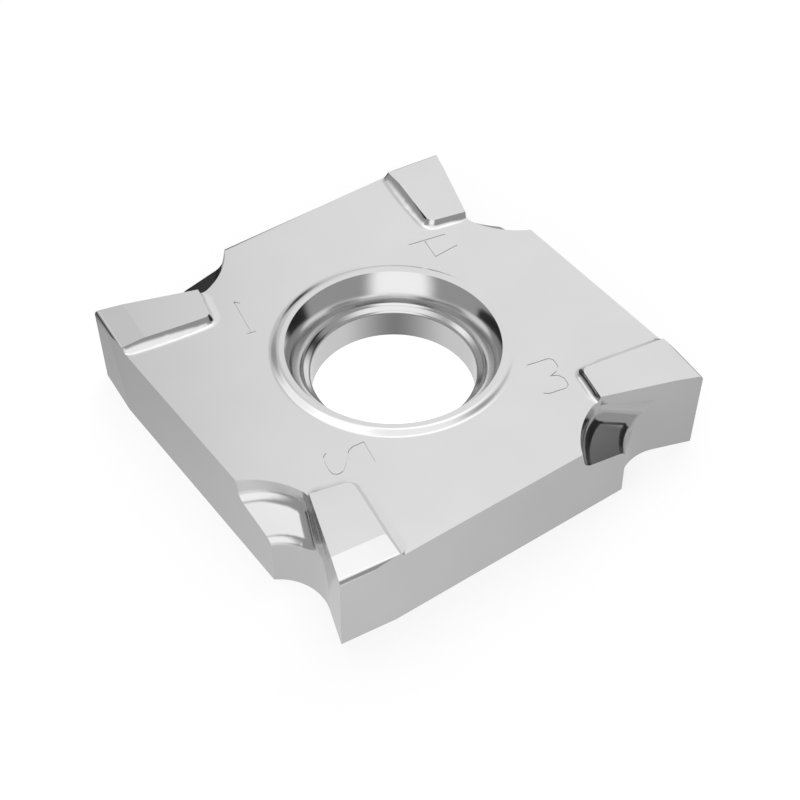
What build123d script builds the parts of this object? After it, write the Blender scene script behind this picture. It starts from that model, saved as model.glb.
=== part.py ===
from build123d import *
from math import cos, radians, sin, tan
import os

os.makedirs("parts", exist_ok=True)

# Square indexable insert: one pressed, sintered and ground carbide piece.
# Millimetres, Z up, origin on the bottom face on the axis of the screw hole.
# The four teeth are alike, a quarter turn apart. The sizes below are those of the tooth
# at the +X +Y corner: its front edge looks along +Y and its gullet opens along +X.

# Plate
side = 12.70
thickness = 2.50
teeth = 4

# Screw hole: a bore with a relief at the back, a narrow ledge round it, a rounded countersink
# that flattens from its foot to its rim, and a low ring around the rim. The angles of the
# countersink are from the axis of the hole, that of the ledge is from level.
bore_diameter = 4.78
ledge_width = 0.23
ledge_angle = 30.0
ledge_inner_radius = 0.15
ledge_nose_radius = 0.12
countersink_foot_angle = 13.0
countersink_angle = 45.0
countersink_radius = 1.8
back_rim_diameter = 6.30
back_relief_angle = 48.5
ring_height = 0.08
ring_land = 0.27
ring_shoulder = 0.19

# Front of the tooth: it turns away from the side of the square and leans in below
front_turn = 6.1
front_setback = 0.128
relief_angle = 1.7
hone_radius = 0.135

# Raised pad on the tooth: where its back corner lies, how its walls run and how they fall
pad_height = 0.187
pad_width = 2.405
pad_length = 2.718
pad_back_turn = 13.2
pad_side_turn = 10.1
pad_side_bow = 0.034
pad_corner_radius = 0.22
back_wall_run = 0.06
side_wall_run = 0.135
base_side_turn = 9.3
base_side_bow = 0.129
base_corner_radius = 0.34
pad_foot_fillet = 0.18

# Land that falls from the top of the pad to the front edge
land_width = 0.82
land_fall = 4.2

# Ground flank on the gullet side of the tooth, and the notch that it runs into
flank_turn = 19.2
flank_setback = 0.188
flank_length = 1.24
notch_radius = 1.44

# Chip pocket pressed behind the notch
pocket_radius = 2.56
pocket_out = 1.16
pocket_back = 2.37
pocket_draft = 12.0
pocket_fillet = 0.40
pocket_corner_radius = 0.5
side_wall_depth = 0.43
side_wall_fall = 9.3
floor_slope = 22.65
floor_heading = 32.3
floor_depth = 1.09
lip_radius = 0.34

# Reach of cutting bodies past the piece, and how near two lengths count as equal
clear = 1.0
tiny = 1e-4

half = side / 2
pad_top = thickness + pad_height


def heading(degrees):
    """Unit vector in plan, at an angle from +X."""
    return Vector(cos(radians(degrees)), sin(radians(degrees)))


def pad_outline(height, inward, back, side_turn, side_bow, corner_radius):
    """Pad outline at one height, from its inner corner out past the sides of the square."""
    inner = Vector(half - inward, half - back)
    side_length = (back + clear) / cos(radians(side_turn))
    back_length = (inward + clear) / cos(radians(pad_back_turn))
    with BuildSketch(Plane.XY.offset(height)) as outline:
        with BuildLine():
            back_edge = Line(inner + heading(-pad_back_turn) * back_length, inner)
            side_edge = SagittaArc(inner, inner + heading(90 - side_turn) * side_length, side_bow)
            Polyline(side_edge @ 1, (half + clear, half + clear), back_edge @ 0)
        make_face()
        fillet(outline.vertices().sort_by_distance(inner)[0], radius=corner_radius)
    return outline.sketch


def at_pad_foot(edge):
    """True for the edges along which a pad rises from the top face."""
    middle = edge @ 0.5
    inside = tiny < min(middle.X, middle.Y) and max(middle.X, middle.Y) < half - tiny
    return inside and abs(middle.Z - thickness) < tiny


# Tip of the tooth, where its front and its flank meet on the top face, and the notch beside it
along_front = heading(-front_turn)
out_of_front = heading(90 - front_turn)
along_flank = heading(90 - flank_turn)
out_of_flank = heading(-flank_turn)
corner = Vector(half, half)
front_distance = corner.dot(out_of_front) - front_setback
flank_distance = corner.dot(out_of_flank) - flank_setback
flank_foot = out_of_flank * flank_distance
tip_reach = (front_distance - flank_foot.dot(out_of_front)) / along_flank.dot(out_of_front)
tip = flank_foot + along_flank * tip_reach
notch_start = tip - along_flank * flank_length
notch_centre = notch_start + out_of_flank * notch_radius

# Column under one pad, through the full height of the plate
pad_base = pad_outline(
    thickness,
    pad_width + side_wall_run,
    pad_length + back_wall_run,
    base_side_turn,
    base_side_bow,
    base_corner_radius,
)
pad_roof = pad_outline(
    pad_top, pad_width, pad_length, pad_side_turn, pad_side_bow, pad_corner_radius
)
with BuildPart() as column:
    extrude(pad_base, amount=-thickness)

# Tooth: the column with its raised pad, cut to the leaning front, the land and the hone
front_plane = Plane(
    origin=out_of_front * front_distance + Vector(0, 0, thickness),
    x_dir=along_front,
    z_dir=out_of_front * cos(radians(relief_angle)) - Vector(0, 0, sin(radians(relief_angle))),
)
front_section = Plane(origin=(0, 0, 0), x_dir=out_of_front, z_dir=along_front)
land_start = front_distance - land_width
land_end = front_distance + clear
land_slope = tan(radians(land_fall))
edge_height = pad_top - land_width * land_slope
with BuildPart() as tooth:
    add(column.part)
    loft([pad_base.face(), pad_roof.face()], ruled=True)
    split(bisect_by=front_plane, keep=Keep.BOTTOM)
    with BuildSketch(front_section):
        Polygon(
            (land_start, pad_top),
            (land_end, pad_top - (land_end - land_start) * land_slope),
            (land_end, pad_top + clear),
            (land_start, pad_top + clear),
            align=None,
        )
    extrude(amount=side, mode=Mode.SUBTRACT)
    front_edge_middle = tip - along_front * land_width + Vector(0, 0, edge_height)
    fillet(tooth.edges().sort_by_distance(front_edge_middle)[0], radius=hone_radius)
    split(bisect_by=Plane.XZ.offset(-half), keep=Keep.TOP)
    split(bisect_by=Plane.YZ.offset(half), keep=Keep.BOTTOM)

# Chip pocket: a round drafted back wall, a drafted side wall that leaves the flank along a line
# that sinks towards the tip, and a floor that falls outward. The walls meet in a rounded corner.
draft = radians(pocket_draft)
pocket_centre = Vector(half + pocket_out, half - pocket_back)
pocket_top = pad_top + clear
pocket_top_radius = pocket_radius + (pocket_top - thickness) * tan(draft)
flank_plane = Plane(origin=flank_foot, x_dir=along_flank, z_dir=out_of_flank)
sinking_line = along_flank * cos(radians(side_wall_fall)) - Vector(0, 0, sin(radians(side_wall_fall)))
down_side_wall = out_of_flank * sin(draft) - Vector(0, 0, cos(draft))
side_wall_plane = Plane(
    origin=notch_start + Vector(0, 0, thickness - side_wall_depth),
    x_dir=sinking_line,
    z_dir=down_side_wall.cross(sinking_line),
)
floor_fall = heading(floor_heading)
floor_plane = Plane(
    origin=notch_start + Vector(0, 0, thickness - floor_depth),
    z_dir=floor_fall * sin(radians(floor_slope)) + Vector(0, 0, cos(radians(floor_slope))),
)
with BuildPart() as pocket:
    with BuildSketch(Plane(origin=pocket_centre + Vector(0, 0, pocket_top))):
        Circle(pocket_top_radius)
    extrude(amount=-(pocket_top + clear), taper=pocket_draft)
    split(bisect_by=flank_plane, keep=Keep.TOP)
    split(bisect_by=side_wall_plane, keep=Keep.TOP)
    wall_joints = pocket.edges().filter_by(GeomType.HYPERBOLA).sort_by(Axis(notch_start, along_flank))
    fillet(wall_joints[:2], radius=pocket_corner_radius)
    split(bisect_by=floor_plane, keep=Keep.TOP)
    split(bisect_by=Plane(origin=notch_centre, z_dir=along_flank), keep=Keep.BOTTOM)
    floor_edges = pocket.faces().sort_by(Axis.Z)[0].edges()
    fillet(floor_edges.sort_by(Axis(notch_centre, along_flank))[:-1], radius=pocket_fillet)

# Notch, ground right through beside the tooth
with BuildPart() as notch:
    with BuildSketch(Plane.XY.offset(-clear)):
        with BuildLine():
            flank_line = Line(tip + along_flank * clear, notch_start)
            notch_wall = CenterArc(notch_centre, notch_radius, 180 - flank_turn, 90 + flank_turn)
            Polyline(
                notch_wall @ 1,
                (half + 2 * clear, (notch_wall @ 1).Y),
                (half + 2 * clear, (flank_line @ 0).Y),
                flank_line @ 0,
            )
        make_face()
    extrude(amount=pad_top + 2 * clear)

# Gullet: the pocket and the notch as one space. The edge where the pocket floor rolls over
# into the notch is found by a point near its middle.
lip_side = notch_centre - floor_fall * notch_radius
lip_drop = (lip_side - notch_start).dot(floor_fall) * tan(radians(floor_slope))
lip_middle = lip_side + Vector(0, 0, thickness - floor_depth - lip_drop)
with BuildPart() as gullet:
    add(pocket.part)
    add(notch.part)
    fillet(gullet.edges().sort_by_distance(lip_middle)[0], radius=lip_radius)

# Quarter of the plate with its tooth, less the gullet
with BuildPart() as quarter:
    with BuildSketch():
        Rectangle(half, half, align=Align.MIN)
    extrude(amount=thickness)
    add(column.part, mode=Mode.SUBTRACT)
    add(tooth.part)
    fillet(quarter.edges().filter_by(at_pad_foot), radius=pad_foot_fillet)
    add(gullet.part, mode=Mode.SUBTRACT)

# Radii of the hole, from the bore out to the rim of the countersink and the ring around it
bore_radius = bore_diameter / 2
foot_radius = bore_radius + ledge_width
rim_angle = radians(countersink_angle)
foot_angle = radians(countersink_foot_angle)
rim_radius = foot_radius + countersink_radius * (cos(foot_angle) - cos(rim_angle))
ring_inner = rim_radius + ring_land
ring_radius = ring_inner + ring_shoulder
ring_top = thickness + ring_height

# Low raised ring around the hole, with an S-shaped shoulder
with BuildPart() as ring:
    with BuildSketch(Plane.XZ):
        with BuildLine():
            shoulder = Spline(
                (ring_inner, ring_top), (ring_radius, thickness), tangents=((1, 0), (1, 0))
            )
            Polyline(
                shoulder @ 1,
                (ring_radius, thickness / 2),
                (0, thickness / 2),
                (0, ring_top),
                shoulder @ 0,
            )
        make_face()
    revolve(axis=Axis.Z)

# Screw hole, as the space it leaves: countersink, ledge, straight bore and back relief
back_rim_radius = back_rim_diameter / 2
back_relief = (back_rim_radius - bore_radius) / tan(radians(back_relief_angle))
ledge_drop = ledge_width * tan(radians(ledge_angle))
with BuildPart() as screw_hole:
    with BuildSketch(Plane.XZ) as hole_section:
        with BuildLine():
            countersink = JernArc(
                (rim_radius, ring_top),
                (-sin(rim_angle), -cos(rim_angle)),
                countersink_radius,
                countersink_angle - countersink_foot_angle,
            )
            ledge = Line(countersink @ 1, (bore_radius, (countersink @ 1).Y - ledge_drop))
            Polyline(
                ledge @ 1,
                (bore_radius, back_relief),
                (back_rim_radius, 0),
                (back_rim_radius, -clear),
                (0, -clear),
                (0, ring_top + clear),
                (rim_radius, ring_top + clear),
                countersink @ 0,
            )
        make_face()
        fillet(hole_section.vertices().sort_by_distance(ledge @ 0)[0], radius=ledge_inner_radius)
        fillet(hole_section.vertices().sort_by_distance(ledge @ 1)[0], radius=ledge_nose_radius)
    revolve(axis=Axis.Z)

# The insert: four quarters, with the ring and the screw hole
with BuildPart() as insert:
    with PolarLocations(0, teeth):
        add(quarter.part)
    add(ring.part)
    add(screw_hole.part, mode=Mode.SUBTRACT)

insert.part.label = "insert_body"
export_step(insert.part, "parts/insert_body.step")
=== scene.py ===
import math

import bpy
import numpy as np
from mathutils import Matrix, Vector
from mathutils.geometry import tessellate_polygon
from mathutils.kdtree import KDTree


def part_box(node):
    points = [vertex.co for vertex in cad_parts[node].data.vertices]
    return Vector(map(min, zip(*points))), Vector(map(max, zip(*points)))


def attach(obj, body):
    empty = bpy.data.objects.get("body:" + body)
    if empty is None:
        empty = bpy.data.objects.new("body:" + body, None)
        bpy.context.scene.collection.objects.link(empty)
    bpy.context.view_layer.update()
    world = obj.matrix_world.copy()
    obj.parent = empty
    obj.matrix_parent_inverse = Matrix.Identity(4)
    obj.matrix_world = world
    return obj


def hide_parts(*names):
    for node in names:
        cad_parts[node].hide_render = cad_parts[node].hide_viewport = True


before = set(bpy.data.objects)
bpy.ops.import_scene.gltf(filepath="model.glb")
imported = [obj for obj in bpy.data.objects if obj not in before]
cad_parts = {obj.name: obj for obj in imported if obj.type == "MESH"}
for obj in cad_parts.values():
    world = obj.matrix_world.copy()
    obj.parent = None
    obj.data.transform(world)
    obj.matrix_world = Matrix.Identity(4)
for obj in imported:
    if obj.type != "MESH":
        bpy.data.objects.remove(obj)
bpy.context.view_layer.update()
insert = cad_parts["insert_body"]
low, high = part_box("insert_body")
MM = 0.001

# Sizes of the hole and the ring round it, in millimetres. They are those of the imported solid, but
# the ring's shoulder is broader and softer than there, inside the same foot.
thickness = 2.50
bore_radius = 2.39
ledge_width = 0.23
ledge_angle = math.radians(30)
ledge_inner_radius = 0.15
ledge_nose_radius = 0.12
foot_angle = math.radians(13)
rim_angle = math.radians(45)
countersink_radius = 1.8
back_rim_radius = 3.15
back_relief_angle = math.radians(48.5)
ring_height = 0.08
ring_land = 0.14
ring_shoulder = 0.32

foot_radius = bore_radius + ledge_width
rim_radius = foot_radius + countersink_radius * (math.cos(foot_angle) - math.cos(rim_angle))
ring_inner = rim_radius + ring_land
ring_radius = ring_inner + ring_shoulder
ring_top = thickness + ring_height
back_relief = (back_rim_radius - bore_radius) / math.tan(back_relief_angle)

# Sizes of the pads, in millimetres, for the tooth at the +X +Y corner
half = high.x / MM
pad_height = 0.187
front_turn = math.radians(6.1)
front_setback = 0.128
land_width = 0.82
land_slope = math.tan(math.radians(4.2))

# Hollow of the pad walls: how strongly they curve, how far the foot spreads outward and how soon that
# fades up the wall, and how near the end of a wall it fades too
wall_hollow = 1.7
foot_spread = 0.14
spread_fade = 1.5
wall_end = 0.15

# Index digits, engraved beside the teeth as fine slots, in millimetres. The strokes of each digit are
# given aside and along its own upright, and run as the photo shows them. The first digit is the one
# at the +X +Y tooth, and the others follow by quarter turns.
mark_half_width = 0.011
mark_depth = 0.05
mark_place = (3.55, 2.80)
mark_lean = math.radians(-11.5)
DIGITS = [
    [[(0.44, 0.40), (0.37, 0.50), (0.20, 0.56), (-0.14, 0.57), (-0.32, 0.52), (-0.39, 0.40),
      (-0.34, 0.22), (-0.08, 0.02), (0.27, -0.18), (0.37, -0.34), (0.41, -0.68), (-0.37, -0.68)]],
    [[(0.42, 0.48), (0.27, 0.56), (-0.26, 0.56), (-0.37, 0.46), (-0.38, 0.20), (-0.28, 0.03),
      (-0.08, -0.04), (-0.34, -0.14), (-0.44, -0.30), (-0.44, -0.58), (-0.34, -0.68), (0.34, -0.68)]],
    [[(-0.36, -0.72), (-0.36, 0.50)], [(-0.32, -0.20), (0.45, -0.20), (0.24, 0.62)]],
    [[(0.11, 0.56), (-0.03, 0.68), (-0.03, -0.68)], [(-0.15, -0.73), (0.11, -0.73)]],
]

# How fine the visible surface is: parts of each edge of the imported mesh, parts of a full turn, and
# steps along the broad rounds, the small rounds, the narrow flats and the bore in the hole's section
edge_parts = 4
turned_parts = 256
broad_steps = 16
small_steps = 8
flat_steps = 2
bore_steps = 4

# What counts as the same: places in metres, heights in millimetres, and directions of length one
same_place = 1e-6
same_height = 1e-3
same_way = 1e-6
flat_way = 1e-4
smooth_joint = math.radians(3.5)

# Upward part of a normal above which a face is level, and below which a wall is steep
level_up = 0.99
steep_up = 0.8


# Packed surface, read face by face

def unit(rows):
    """Rows scaled to length one."""
    return rows / np.maximum(np.linalg.norm(rows, axis=-1, keepdims=True), 1e-30)


def read_faces(mesh):
    """Corner places, the triangles, and for each corner the number of the face of the solid it is on."""
    corners = np.empty(len(mesh.vertices) * 3)
    mesh.vertices.foreach_get("co", corners)
    corners = corners.reshape(-1, 3)
    mesh.calc_loop_triangles()
    triangles = np.empty(len(mesh.loop_triangles) * 3, dtype=np.int64)
    mesh.loop_triangles.foreach_get("vertices", triangles)
    triangles = triangles.reshape(-1, 3)
    label = np.arange(len(corners))
    settled = False
    while not settled:
        spread = label.copy()
        for side in range(3):
            np.minimum.at(spread, triangles[:, side], label[triangles].min(axis=1))
        spread = spread[spread]
        settled = (spread == label).all()
        label = spread
    return corners, triangles, label


def fitted_normals(corners, triangles):
    """Normal at each corner: a linear fit of the normals of the triangles around it, on its own face.

    The fit leans a little toward an even normal, so that it holds where few triangles meet.
    """
    lean = 0.02
    any_way = (0.3, 0.5, 0.81)
    a, b, c = (corners[triangles[:, side]] for side in range(3))
    cross = np.cross(b - a, c - a)
    area = np.linalg.norm(cross, axis=1)
    facing = unit(cross)
    middle = (a + b + c) / 3
    around = [[] for _ in corners]
    for index, triangle in enumerate(triangles):
        for corner in triangle:
            around[corner].append(index)
    normals = np.zeros_like(corners)
    for corner, touching in enumerate(around):
        ring = sorted({t for near in touching for other in triangles[near] for t in around[other]})
        mean = unit((facing[touching] * area[touching, None]).sum(axis=0))
        across = unit(np.cross(mean, any_way))
        along = np.cross(mean, across)
        offset = middle[ring] - corners[corner]
        reach = np.linalg.norm(offset, axis=1)
        scale = reach.mean()
        weight = np.sqrt(area[ring] / (scale ** 2 + reach ** 2))[:, None]
        design = np.column_stack([np.ones(len(ring)), offset @ across / scale, offset @ along / scale])
        rows = np.vstack([design * weight, np.diag([0, 1, 1]) * weight.mean() * lean])
        wanted = np.vstack([facing[ring] * weight, np.zeros((3, 3))])
        normals[corner] = unit(np.linalg.lstsq(rows, wanted, rcond=None)[0][0])
    return normals


def join_smooth(number, normals, on_plane):
    """The same normal for the corners at one point, where their faces run smoothly into each other."""
    joined = normals.copy()
    order = np.argsort(number, kind="stable")
    for group in np.split(order, np.flatnonzero(np.diff(number[order])) + 1):
        left = list(group)
        while left:
            seed = left[0]
            near = []
            for other in left:
                alike = normals[seed] @ normals[other]
                both_planes = on_plane[seed] and on_plane[other]
                if alike > (1 - same_way if both_planes else math.cos(smooth_joint)):
                    near.append(other)
            exact = [other for other in near if on_plane[other]] or near
            joined[near] = unit(normals[exact].sum(axis=0))
            left = [other for other in left if other not in near]
    return joined


# Finer surface: each edge becomes a curve along the faces that meet there, and each triangle a
# patch between its three curves

def curve_step(chord, first, last):
    """First third of the curve that leaves a point along a chord, on faces with these two normals."""
    nearly_along = 0.9
    along = np.cross(first, last)
    if np.linalg.norm(along) > math.sin(smooth_joint / 2):
        along = unit(along)
        if abs(along @ chord) > nearly_along * np.linalg.norm(chord):
            return (along @ chord) * along / 3
    return (2 * chord - (chord @ first) * first - (chord @ last) * last) / 6


def edge_curves(points, triangles, number, normals):
    """The two inner points of each edge's cubic curve, from its lower to its higher point number."""
    sides = {}
    for triangle in triangles:
        for start, end in zip(triangle, np.roll(triangle, -1)):
            if number[start] > number[end]:
                start, end = end, start
            sides.setdefault((number[start], number[end]), []).append((normals[start], normals[end]))
    curves = {}
    for (start, end), both in sides.items():
        chord = points[end] - points[start]
        near_start = points[start] + curve_step(chord, both[0][0], both[-1][0])
        near_end = points[end] + curve_step(-chord, both[0][1], both[-1][1])
        curves[start, end] = (near_start, near_end)
    return curves


class Surface:
    """Points, faces and a normal for each corner of each face, gathered for one mesh.

    Walls are the numbers of the faces that lie on the walls of the pads.
    """

    def __init__(self):
        self.points, self.faces, self.normals = [], [], []
        self.walls = set()

    def point(self, place):
        self.points.append(tuple(place))
        return len(self.points) - 1

    def face(self, corners, normals):
        self.faces.append(tuple(corners))
        self.normals.extend(tuple(normal) for normal in normals)

    def mesh(self, name):
        """Mesh of the faces, without the points that no face uses, kept within the solid's box."""
        used = sorted({corner for face in self.faces for corner in face})
        place = {corner: index for index, corner in enumerate(used)}
        mesh = bpy.data.meshes.new(name)
        mesh.from_pydata(
            np.clip([self.points[corner] for corner in used], low, high).tolist(),
            [],
            [tuple(place[corner] for corner in face) for face in self.faces],
        )
        mesh.shade_smooth()
        mesh.normals_split_custom_set(self.normals)
        return mesh


def refine(surface, mesh, dropped):
    """Adds the finer copy of a mesh, but for the faces that dropped() names. Returns the open edges."""
    corners, triangles, label = read_faces(mesh)
    keys = np.round(corners / same_place).astype(np.int64)
    _, first, number = np.unique(keys, axis=0, return_index=True, return_inverse=True)
    number = number.reshape(-1)
    points = corners[first]
    normals = fitted_normals(corners, triangles)
    on_plane = np.zeros(len(corners), dtype=bool)
    gone, walls = set(), set()
    for face in np.unique(label):
        on_face = label == face
        on_plane[on_face] = np.allclose(normals[on_face], normals[on_face][0], atol=flat_way)
        if dropped(corners[on_face], on_plane[face]):
            gone.add(face)
        elif pad_wall(corners[on_face], normals[face]):
            walls.add(face)
    normals = join_smooth(number, normals, on_plane)
    curves = edge_curves(points, triangles, number, normals)
    numbered = [surface.point(place) for place in points]
    rows, uses = {}, {}

    def row(start, end):
        """Points of one edge's curve, from start to end."""
        ends = (min(start, end), max(start, end))
        if ends not in rows:
            a, d = points[list(ends)]
            b, c = curves[ends]
            inner = []
            for part in range(1, edge_parts):
                t = part / edge_parts
                s = 1 - t
                inner.append(surface.point(s**3 * a + 3 * s * s * t * b + 3 * s * t * t * c + t**3 * d))
            rows[ends] = [numbered[ends[0]], *inner, numbered[ends[1]]]
        return rows[ends] if start == ends[0] else rows[ends][::-1]

    for triangle in triangles:
        if label[triangle[0]] in gone:
            continue
        corner = number[triangle]
        grid, handles = {}, []
        for i in range(3):
            start, end = corner[i], corner[(i + 1) % 3]
            line = row(start, end)
            for part, point in enumerate(line):
                share = [0, 0, 0]
                share[i], share[(i + 1) % 3] = edge_parts - part, part
                grid[tuple(share)] = point
            for ends in zip(line, line[1:]):
                uses[min(ends), max(ends)] = uses.get((min(ends), max(ends)), 0) + 1
            pair = curves[min(start, end), max(start, end)]
            handles += pair if start < end else pair[::-1]
        ring = sum(handles) / 6
        centre = ring + (ring - points[corner].mean(axis=0)) / 2
        for i in range(1, edge_parts - 1):
            for j in range(1, edge_parts - i):
                u, v, w = np.array((edge_parts - i - j, i, j)) / edge_parts
                shares = (u * u * v, u * v * v, v * v * w, v * w * w, w * w * u, w * u * u)
                place = np.array((u**3, v**3, w**3)) @ points[corner] + 6 * u * v * w * centre
                place = place + 3 * np.array(shares) @ np.array(handles)
                grid[edge_parts - i - j, i, j] = surface.point(place)
        for i in range(edge_parts):
            for j in range(edge_parts - i):
                k = edge_parts - i - j
                small = [((k, i, j), (k - 1, i + 1, j), (k - 1, i, j + 1))]
                if k > 1:
                    small.append(((k - 1, i + 1, j), (k - 2, i + 1, j + 1), (k - 1, i, j + 1)))
                for shares in small:
                    if label[triangle[0]] in walls:
                        surface.walls.add(len(surface.faces))
                    surface.face([grid[s] for s in shares], unit(np.array(shares) @ normals[triangle]))
    return [edge for edge, count in uses.items() if count == 1]


def loops_of(edges):
    """Closed loops that the open edges make."""
    beside = {}
    for a, b in edges:
        beside.setdefault(a, []).append(b)
        beside.setdefault(b, []).append(a)
    loops = []
    while beside:
        start = next(iter(beside))
        loop, here, before = [start], beside[start][0], start
        while here != start:
            loop.append(here)
            before, here = here, next(q for q in beside[here] if q != before)
        for point in loop:
            del beside[point]
        loops.append(loop)
    return loops


# Pad walls, hollowed from the foot to the edge

def pad_wall(corners, normal):
    """True for the walls of the pads and the fillets at their feet."""
    lowest, highest = corners[:, 2].min() / MM - thickness, corners[:, 2].max() / MM - thickness
    stands = highest - lowest > same_height and normal[2] < level_up
    return stands and lowest > -same_height and same_height < highest < pad_height + same_height


def pad_top(x, y):
    """Height of a pad above the top face, in millimetres, at a place in metres away from the axis."""
    while not (x >= 0 and y > 0):
        x, y = y, -x
    reach = (x * math.sin(front_turn) + y * math.cos(front_turn)) / MM
    front = half * (math.sin(front_turn) + math.cos(front_turn)) - front_setback
    return pad_height - max(0, reach - front + land_width) * land_slope


def smooth_step(share):
    """From 0 to 1 as a share does, but level at both ends."""
    return share * share * (3 - 2 * share)


def tree_of(surface, points):
    """Search tree of some of the surface's points."""
    tree = KDTree(len(points))
    for point in points:
        tree.insert(surface.points[point], point)
    tree.balance()
    return tree


def wall_points(surface):
    """For each point of the pad walls, a normal there and the share of the pad's height that it has."""
    ways, share = {}, {}
    for face in surface.walls:
        for place, point in enumerate(surface.faces[face]):
            ways.setdefault(point, surface.normals[3 * face + place])
    for point in ways:
        x, y, z = surface.points[point]
        share[point] = min(max((z / MM - thickness) / pad_top(x, y), 0), 1)
    return ways, share


def hollow_walls(surface):
    """Makes each pad wall a hollow curve, steep at the pad and running out over the top face.

    It runs while all faces of the surface are triangles.
    """
    below_edge = 0.9
    ways, share = wall_points(surface)
    elsewhere = set()
    for face in set(range(len(surface.faces))) - surface.walls:
        elsewhere.update(surface.faces[face])
    steep = tree_of(surface, [point for point, normal in ways.items() if normal[2] < steep_up])
    ends = tree_of(surface, [point for point in ways if point in elsewhere and share[point] < below_edge])
    moved = {}
    for point in ways:
        place = Vector(surface.points[point])
        x, y, _ = ways[steep.find(place)[1]]
        free = min(ends.find(place)[2] / (wall_end * MM), 1)
        spread = foot_spread * (1 - share[point]) ** spread_fade * smooth_step(free)
        place += Vector((x, y, 0)).normalized() * spread * MM
        place.z = (thickness + pad_top(place.x, place.y) * share[point] ** wall_hollow) * MM
        moved[point] = tuple(place)
    for point, place in moved.items():
        surface.points[point] = place
    shade_walls(surface, {point for point in ways if share[point] < same_height})


def shade_walls(surface, feet):
    """Normals of the pad walls from their faces, and straight up at their feet."""
    sums = {}
    for face in surface.walls:
        a, b, c = (Vector(surface.points[point]) / MM for point in surface.faces[face])
        for point in surface.faces[face]:
            sums[point] = sums.get(point, Vector((0, 0, 0))) + (b - a).cross(c - a)
    for face in surface.walls:
        for place, point in enumerate(surface.faces[face]):
            normal = (0, 0, 1) if point in feet else tuple(sums[point].normalized())
            surface.normals[3 * face + place] = normal


# Ring and hole, turned

def arc(centre, radius, start, end, steps):
    """Part of a circle in the hole's section. Normals point out of it, or in for a radius below 0."""
    turns = [math.radians(start + (end - start) * step / steps) for step in range(steps + 1)]
    side = 1 if radius > 0 else -1
    return [
        ((centre[0] + abs(radius) * math.cos(t), centre[1] + abs(radius) * math.sin(t)),
         (side * math.cos(t), side * math.sin(t)))
        for t in turns
    ]


def straight(start, end, steps):
    """Straight part of the section. Its normal points to the right of its way."""
    way = Vector((end[0] - start[0], end[1] - start[1]))
    normal = (way.y / way.length, -way.x / way.length)
    return [
        ((start[0] + way.x * step / steps, start[1] + way.y * step / steps), normal)
        for step in range(steps + 1)
    ]


def shoulder(steps):
    """S-shaped shoulder of the ring, from the top face in to the land."""
    chord = math.hypot(ring_shoulder, ring_height)
    part = []
    for step in range(steps + 1):
        t = 1 - step / steps
        fall, fall_rate = smooth_step(t), 6 * t * (1 - t)
        place = (
            ring_inner + ring_shoulder * fall + chord * t * (2 * t * t - 3 * t + 1),
            ring_top - ring_height * fall,
        )
        out = Vector((ring_height * fall_rate, ring_shoulder * fall_rate + chord * (1 - 6 * t * (1 - t))))
        part.append((place, tuple(out.normalized())))
    return part


def hole_section():
    """Parts of the section from the foot of the ring, over its land and down the hole to the back rim."""
    round_centre = Vector((
        rim_radius + countersink_radius * math.cos(rim_angle),
        ring_top - countersink_radius * math.sin(rim_angle),
    ))
    foot = Vector((foot_radius, round_centre.y + countersink_radius * math.sin(foot_angle)))
    inward = Vector((-math.cos(ledge_angle), -math.sin(ledge_angle)))
    upward = Vector((-math.sin(ledge_angle), math.cos(ledge_angle)))
    lifted = foot + ledge_inner_radius * upward - round_centre
    reach = countersink_radius + ledge_inner_radius
    slide = math.sqrt((lifted @ inward) ** 2 - lifted @ lifted + reach ** 2) - lifted @ inward
    inner_centre = round_centre + lifted + slide * inward
    to_round = round_centre - inner_centre
    joint = math.degrees(math.atan2(to_round.y, to_round.x))
    nose_x = bore_radius + ledge_nose_radius
    nose_drop = (ledge_nose_radius + (nose_x - foot.x) * upward.x) / upward.y
    nose_centre = Vector((nose_x, foot.y - nose_drop))
    ledge = math.degrees(ledge_angle)
    return [
        shoulder(broad_steps),
        straight((ring_inner, ring_top), (rim_radius, ring_top), flat_steps),
        arc(round_centre, countersink_radius, 180 - math.degrees(rim_angle), 180 + joint, broad_steps),
        arc(inner_centre, -ledge_inner_radius, joint, ledge - 90, small_steps),
        straight(
            inner_centre - ledge_inner_radius * upward,
            nose_centre + ledge_nose_radius * upward,
            flat_steps,
        ),
        arc(nose_centre, ledge_nose_radius, 90 + ledge, 180, small_steps),
        straight((bore_radius, nose_centre.y), (bore_radius, back_relief), bore_steps),
        straight((bore_radius, back_relief), (back_rim_radius, 0), bore_steps),
    ]


def turn(surface, parts):
    """Turns the section round the axis, and returns its first and its last ring of points."""
    bearings = [2 * math.pi * step / turned_parts for step in range(turned_parts)]
    ways = [(math.cos(bearing), math.sin(bearing)) for bearing in bearings]

    def ring(place):
        return [surface.point((x * place[0] * MM, y * place[0] * MM, place[1] * MM)) for x, y in ways]

    def facing(normal, way):
        return normal[0] * way[0], normal[0] * way[1], normal[1]

    first = last = ring(parts[0][0][0])
    for part in parts:
        for (_, normal), (next_place, next_normal) in zip(part, part[1:]):
            below = ring(next_place)
            for i, way in enumerate(ways):
                j = (i + 1) % turned_parts
                surface.face(
                    (last[i], last[j], below[j], below[i]),
                    (facing(normal, way), facing(normal, ways[j]),
                     facing(next_normal, ways[j]), facing(next_normal, way)),
                )
            last = below
    return first, last


def flat_face(surface, corners, normal):
    """Face of three or more points, turned so that it looks along its normal."""
    a, b, c = (Vector(surface.points[corner]) for corner in corners[:3])
    if (b - a).cross(c - a).dot(Vector(normal)) < 0:
        corners = corners[::-1]
    surface.face(corners, [normal] * len(corners))


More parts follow.
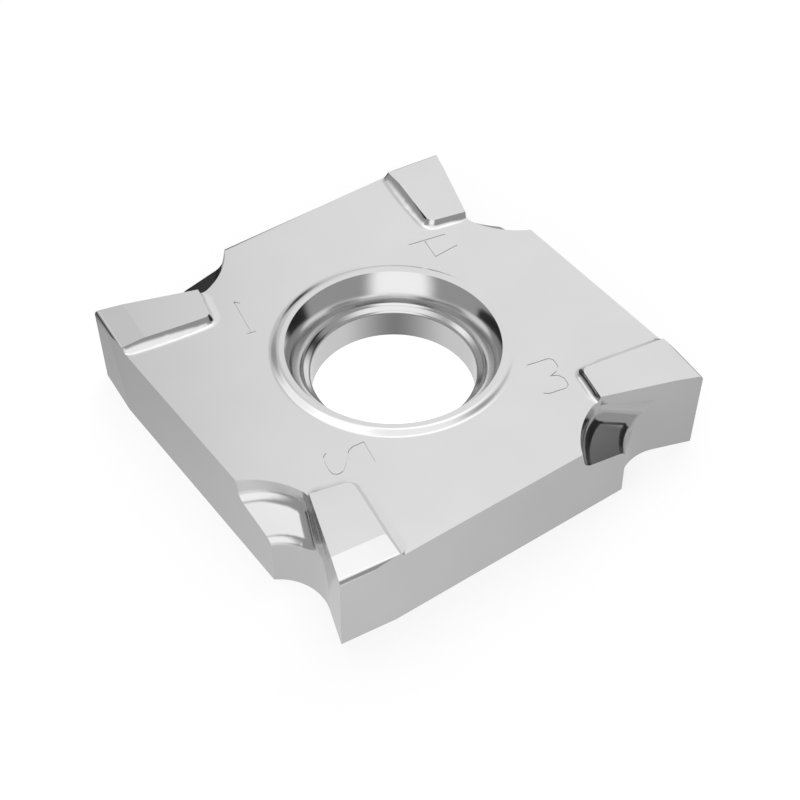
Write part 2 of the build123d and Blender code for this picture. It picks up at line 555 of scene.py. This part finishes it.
def fill(surface, loops, facing):
    """Level face within the first loop of points and outside the others, looking up (1) or down (-1)."""
    points = [point for loop in loops for point in loop]
    outlines = [[Vector(surface.points[point]) / MM for point in loop] for loop in loops]
    for corners in tessellate_polygon(outlines):
        flat_face(surface, [points[corner] for corner in corners], (0, 0, facing))


# Index digits

def slot_outline(stroke):
    """Outline of a slot along a stroke: out along its left side and back along its right side."""
    stroke = [Vector(place) for place in stroke]
    ways = [(after - before).normalized() for before, after in zip(stroke, stroke[1:])]
    left, right = [], []
    for place, before, after in zip(stroke, [ways[0], *ways], [*ways, ways[-1]]):
        along = (before + after).normalized()
        aside = Vector((-along.y, along.x)) * mark_half_width / along.dot(before)
        left.append(place + aside)
        right.append(place - aside)
    return left + right[::-1]


def engrave(surface):
    """Cuts the walls and the floors of the slots, and returns their edges on the top face."""
    up = Vector((math.cos(mark_lean), math.sin(mark_lean)))
    aside = Vector((up.y, -up.x))
    edges = []
    for quarter, strokes in enumerate(DIGITS):
        for stroke in strokes:
            outline = []
            for across, along in slot_outline(stroke):
                x, y = Vector(mark_place) + aside * across + up * along
                for _ in range(quarter):
                    x, y = -y, x
                outline.append((x * MM, y * MM))
            edge, foot = (
                [surface.point((x, y, (thickness - depth) * MM)) for x, y in outline]
                for depth in (0, mark_depth)
            )
            for i, (start, end) in enumerate(zip(outline, outline[1:] + outline[:1])):
                j = (i + 1) % len(outline)
                way = (Vector(end) - Vector(start)).normalized()
                flat_face(surface, [edge[i], edge[j], foot[j], foot[i]], (way.y, -way.x, 0))
            fill(surface, [foot], 1)
            edges.append(edge)
    return edges


def made_anew(corners, on_plane):
    """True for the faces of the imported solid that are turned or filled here."""
    within_ring = np.hypot(corners[:, 0], corners[:, 1]).max() < (ring_radius + ring_land) * MM
    level = corners[0, 2] / MM
    top_or_bottom = min(abs(level), abs(level - thickness)) < same_height
    return within_ring or (on_plane and top_or_bottom and np.ptp(corners[:, 2]) < same_place)


def insert_surface():
    """The visible insert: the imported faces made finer, the hole turned, and the top and bottom filled."""
    surface = Surface()
    open_edges = refine(surface, insert.data, made_anew)
    hollow_walls(surface)
    top_rim, bottom_rim = sorted(
        loops_of(open_edges), key=lambda loop: surface.points[loop[0]][2], reverse=True
    )
    ring_foot, back_rim = turn(surface, hole_section())
    fill(surface, [top_rim, ring_foot, *engrave(surface)], 1)
    fill(surface, [bottom_rim, back_rim], -1)
    piece = bpy.data.objects.new("carbide_insert", surface.mesh("carbide_insert"))
    bpy.context.scene.collection.objects.link(piece)
    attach(piece, "root")
    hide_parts("insert_body")
    return piece


visible_insert = insert_surface()


# Node helpers

def new_material(name):
    """An empty node material and its output socket."""
    material = bpy.data.materials.new(name)
    material.use_nodes = True
    material.node_tree.nodes.clear()
    output = material.node_tree.nodes.new("ShaderNodeOutputMaterial")
    return material, material.node_tree, output


def add_node(tree, kind, **settings):
    """A node of one kind, with its properties set, and its inputs where the name matches a socket."""
    node = tree.nodes.new(kind)
    for name, value in settings.items():
        if hasattr(node, name):
            setattr(node, name, value)
        else:
            node.inputs[name.replace("_", " ")].default_value = value
    return node


def feed(tree, socket, value):
    """Sets an input to a number, or links it to the output of another node."""
    if isinstance(value, (int, float)):
        socket.default_value = value
    else:
        tree.links.new(value, socket)


def math_node(tree, operation, *values):
    """Result of a math node whose inputs are outputs of other nodes or numbers."""
    node = add_node(tree, "ShaderNodeMath", operation=operation)
    for socket, value in zip(node.inputs, values):
        feed(tree, socket, value)
    return node.outputs[0]


def weighed_sum(tree, x, y, by_x, by_y):
    """x times by_x plus y times by_y."""
    return math_node(tree, "MULTIPLY_ADD", x, by_x, math_node(tree, "MULTIPLY", y, by_y))


def ramp(tree, value, start, end, first, last):
    """A value that goes from first to last while another goes from start to end."""
    node = add_node(tree, "ShaderNodeMapRange", interpolation_type="SMOOTHSTEP")
    names = ("Value", "From Min", "From Max", "To Min", "To Max")
    for name, number in zip(names, (value, start, end, first, last)):
        feed(tree, node.inputs[name], number)
    return node.outputs["Result"]


def blend(tree, share, first, last):
    """First where the share is 0 and last where it is 1."""
    node = add_node(tree, "ShaderNodeMix", data_type="FLOAT")
    for name, value in zip(("Factor", "A", "B"), (share, first, last)):
        feed(tree, node.inputs[name], value)
    return node.outputs["Result"]


def band(tree, angle, middle, half_width, edge):
    """1 where an angle is within half_width of middle, falling to 0 over the soft edge. Degrees."""
    away = math_node(tree, "SUBTRACT", angle, math.radians(middle))
    size = math_node(tree, "ABSOLUTE", math_node(tree, "WRAP", away, math.pi, -math.pi))
    return ramp(tree, size, math.radians(half_width), math.radians(half_width + edge), 1, 0)


# Carbide: a pressed and sintered face with a very fine grain, under a satin polish

def carbide():
    material, tree, output = new_material("ground_carbide")
    shader = add_node(tree, "ShaderNodeBsdfPrincipled", Metallic=1.0, Roughness=0.14)
    place = add_node(tree, "ShaderNodeTexCoord")
    grain = add_node(tree, "ShaderNodeTexNoise", Scale=9000.0, Detail=3.0, Roughness=0.55)
    cloud = add_node(tree, "ShaderNodeTexNoise", Scale=420.0, Detail=2.0)
    tone = add_node(tree, "ShaderNodeMixRGB")
    tone.inputs["Color1"].default_value = (0.70, 0.70, 0.70, 1)
    tone.inputs["Color2"].default_value = (0.76, 0.76, 0.76, 1)
    bump = add_node(tree, "ShaderNodeBump", Strength=0.04, Distance=0.002 * MM)
    for noise in (grain, cloud):
        tree.links.new(place.outputs["Object"], noise.inputs["Vector"])
    tree.links.new(cloud.outputs["Fac"], tone.inputs["Fac"])
    tree.links.new(tone.outputs["Color"], shader.inputs["Base Color"])
    tree.links.new(grain.outputs["Fac"], bump.inputs["Height"])
    tree.links.new(bump.outputs["Normal"], shader.inputs["Normal"])
    tree.links.new(shader.outputs["BSDF"], output.inputs["Surface"])
    return material


ground_carbide = carbide()
insert.material_slots[0].material = ground_carbide
visible_insert.data.materials.append(ground_carbide)


# Camera: looks down on the tooth at the +X +Y corner

camera_bearing = math.radians(54.28)
camera_height = math.radians(45.93)
camera_distance = 50.86 * MM
camera_lens = 80.12
aim = Vector((0.38, 0.85, 1.25)) * MM
camera_data = bpy.data.cameras.new("camera")
camera_data.lens = camera_lens
camera_data.clip_start = 1 * MM
camera_data.clip_end = 10.0
camera = bpy.data.objects.new("camera", camera_data)
back = Vector((
    math.cos(camera_bearing) * math.cos(camera_height),
    math.sin(camera_bearing) * math.cos(camera_height),
    math.sin(camera_height),
))
camera.location = aim + back * camera_distance
camera.rotation_mode = "QUATERNION"
camera.rotation_quaternion = (-back).to_track_quat("-Z", "Y")
bpy.context.scene.collection.objects.link(camera)
bpy.context.scene.camera = camera


# Floor: to the camera it is white, with painted light added within the hole, and under the hole it is open
# to what the bore mirrors.
# To the metal it shows painted light and shade: close round the insert a painted glow that grows lighter
# toward the camera, and farther out painted light and dark bands by bearing. Lengths are in millimetres
# from the axis, and angles in degrees from +X.

floor_half_width = 3000
hole_reach = 3.2
floor_grey = 0.36
floor_white = 0.74
# Painted light added to the floor within the hole for the camera, lifting the insert's shade there to white
painted_hole_light = 0.20
# Painted light that the metal sees on the floor: a glow round the insert from its start to its end along
# the camera's bearing, and a level farther out
near_start, near_start_light = -6, 0.40
near_end, near_end_light = 12, 0.70
far_start, far_end = 10.2, 12
far_light = 0.38
# Painted bands on the floor that only the metal sees: painted light above 0, painted shade below 0
PAINTED_FLOOR_BANDS = [
    # bearing, half width, soft edge, light
    (52, 16, 20, 0.52),
    (112, 16, 12, 0.12),
    (172, 18, 10, -0.34),
    (-76, 24, 6, -0.34),
]


def painted_floor_light(tree):
    """1 within the hole, and the painted light and shade that the metal sees on the floor: close round the
    insert and farther out.
    """
    place = add_node(tree, "ShaderNodeTexCoord")
    split = add_node(tree, "ShaderNodeSeparateXYZ")
    tree.links.new(place.outputs["Object"], split.inputs[0])
    x, y = split.outputs["X"], split.outputs["Y"]
    reach = math_node(tree, "SQRT", weighed_sum(tree, x, y, x, y))
    toward = weighed_sum(tree, x, y, math.cos(camera_bearing), math.sin(camera_bearing))
    bearing = math_node(tree, "ARCTAN2", y, x)
    # Painted glow close round the insert, lighter toward the camera
    near = ramp(tree, toward, near_start * MM, near_end * MM, near_start_light, near_end_light)
    far = far_light
    for middle, half_width, edge, light in PAINTED_FLOOR_BANDS:
        far = math_node(tree, "MULTIPLY_ADD", band(tree, bearing, middle, half_width, edge), light, far)
    outside = blend(tree, ramp(tree, reach, far_start * MM, far_end * MM, 0, 1), near, far)
    return math_node(tree, "LESS_THAN", reach, hole_reach * MM), outside


def floor_material():
    """Matt grey to the light, white to the camera by a glow of its own, and to the metal a painted glow of
    light and shade in place of its grey.
    """
    material, tree, output = new_material("pale_floor")
    path = add_node(tree, "ShaderNodeLightPath")
    to_camera, to_metal = path.outputs["Is Camera Ray"], path.outputs["Is Glossy Ray"]
    diffuse = add_node(tree, "ShaderNodeBsdfDiffuse")
    glow = add_node(tree, "ShaderNodeEmission")
    total = add_node(tree, "ShaderNodeAddShader")
    grey = add_node(tree, "ShaderNodeCombineColor")
    # To the metal the floor's diffuse grey is black, so its own shade is gone and only the painted glow
    # shows
    level = math_node(tree, "MULTIPLY_ADD", to_metal, -floor_grey, floor_grey)
    for channel in grey.inputs[:3]:
        tree.links.new(level, channel)
    in_hole, painted_metal_light = painted_floor_light(tree)
    # The floor's even white to the camera, with painted light on top of it within the hole
    floor_white_and_painted_hole_light = math_node(tree, "MULTIPLY_ADD", in_hole, painted_hole_light, floor_white)
    strength = weighed_sum(tree, to_metal, to_camera, painted_metal_light, floor_white_and_painted_hole_light)
    tree.links.new(grey.outputs[0], diffuse.inputs["Color"])
    tree.links.new(strength, glow.inputs["Strength"])
    tree.links.new(diffuse.outputs[0], total.inputs[0])
    tree.links.new(glow.outputs[0], total.inputs[1])
    through = add_node(tree, "ShaderNodeBsdfTransparent")
    opening = add_node(tree, "ShaderNodeMixShader")
    tree.links.new(math_node(tree, "MULTIPLY", in_hole, to_metal), opening.inputs["Fac"])
    tree.links.new(total.outputs[0], opening.inputs[1])
    tree.links.new(through.outputs[0], opening.inputs[2])
    tree.links.new(opening.outputs[0], output.inputs["Surface"])
    return material


floor_edge = floor_half_width * MM
floor_mesh = bpy.data.meshes.new("floor")
floor_mesh.from_pydata(
    [(x * floor_edge, y * floor_edge, low.z) for x, y in ((-1, -1), (1, -1), (1, 1), (-1, 1))],
    [],
    [(0, 1, 2, 3)],
)
floor = bpy.data.objects.new("floor", floor_mesh)
floor.data.materials.append(floor_material())
bpy.context.scene.collection.objects.link(floor)

# Studio: a grey room with soft panels and dark cards. Bearings are from +X and heights from the
# floor, in degrees. A panel fades to nothing over its soft edge. The last two rows lie below the
# floor, and only the metal in the hole sees them.

room_light = 0.36
least_light = 0.02
backdrop_light = 1.0
PANELS = [
    # bearing, half width, soft edge, height, half height, soft edge, light
    (0, 180, 10, 90, 18, 16, 0.75),
    (47, 21, 21, 29, 21, 20, 0.80),
    (-135, 36, 10, 34, 26, 14, 0.35),
    (-148, 24, 14, 34, 26, 14, 0.24),
    (-125, 30, 20, 64, 6, 10, 0.26),
    (-68, 16, 14, 60, 12, 14, 0.80),
    (170, 14, 10, 12, 28, 8, -0.36),
    (-76, 30, 8, 2, 11, 8, -0.74),
    (0, 180, 10, -60, 30, 14, -0.11),
    (-128, 95, 90, -60, 30, 14, 0.50),
]


def studio():
    world = bpy.data.worlds.new("studio")
    world.use_nodes = True
    tree = world.node_tree
    place = add_node(tree, "ShaderNodeTexCoord")
    split = add_node(tree, "ShaderNodeSeparateXYZ")
    tree.links.new(place.outputs["Generated"], split.inputs[0])
    bearing = math_node(tree, "ARCTAN2", split.outputs["Y"], split.outputs["X"])
    height = math_node(tree, "ARCSINE", split.outputs["Z"])
    total = room_light
    for middle, half_width, side_edge, level, half_height, level_edge, light in PANELS:
        across = band(tree, bearing, middle, half_width, side_edge)
        up = band(tree, height, level, half_height, level_edge)
        total = math_node(tree, "MULTIPLY_ADD", math_node(tree, "MULTIPLY", across, up), light, total)
    room = math_node(tree, "MAXIMUM", total, least_light)
    to_camera = add_node(tree, "ShaderNodeLightPath").outputs["Is Camera Ray"]
    background = tree.nodes["Background"]
    background.inputs["Color"].default_value = (1, 1, 1, 1)
    tree.links.new(blend(tree, to_camera, room, backdrop_light), background.inputs["Strength"])
    return world


bpy.context.scene.world = studio()

bpy.context.scene.view_settings.view_transform = "Standard"
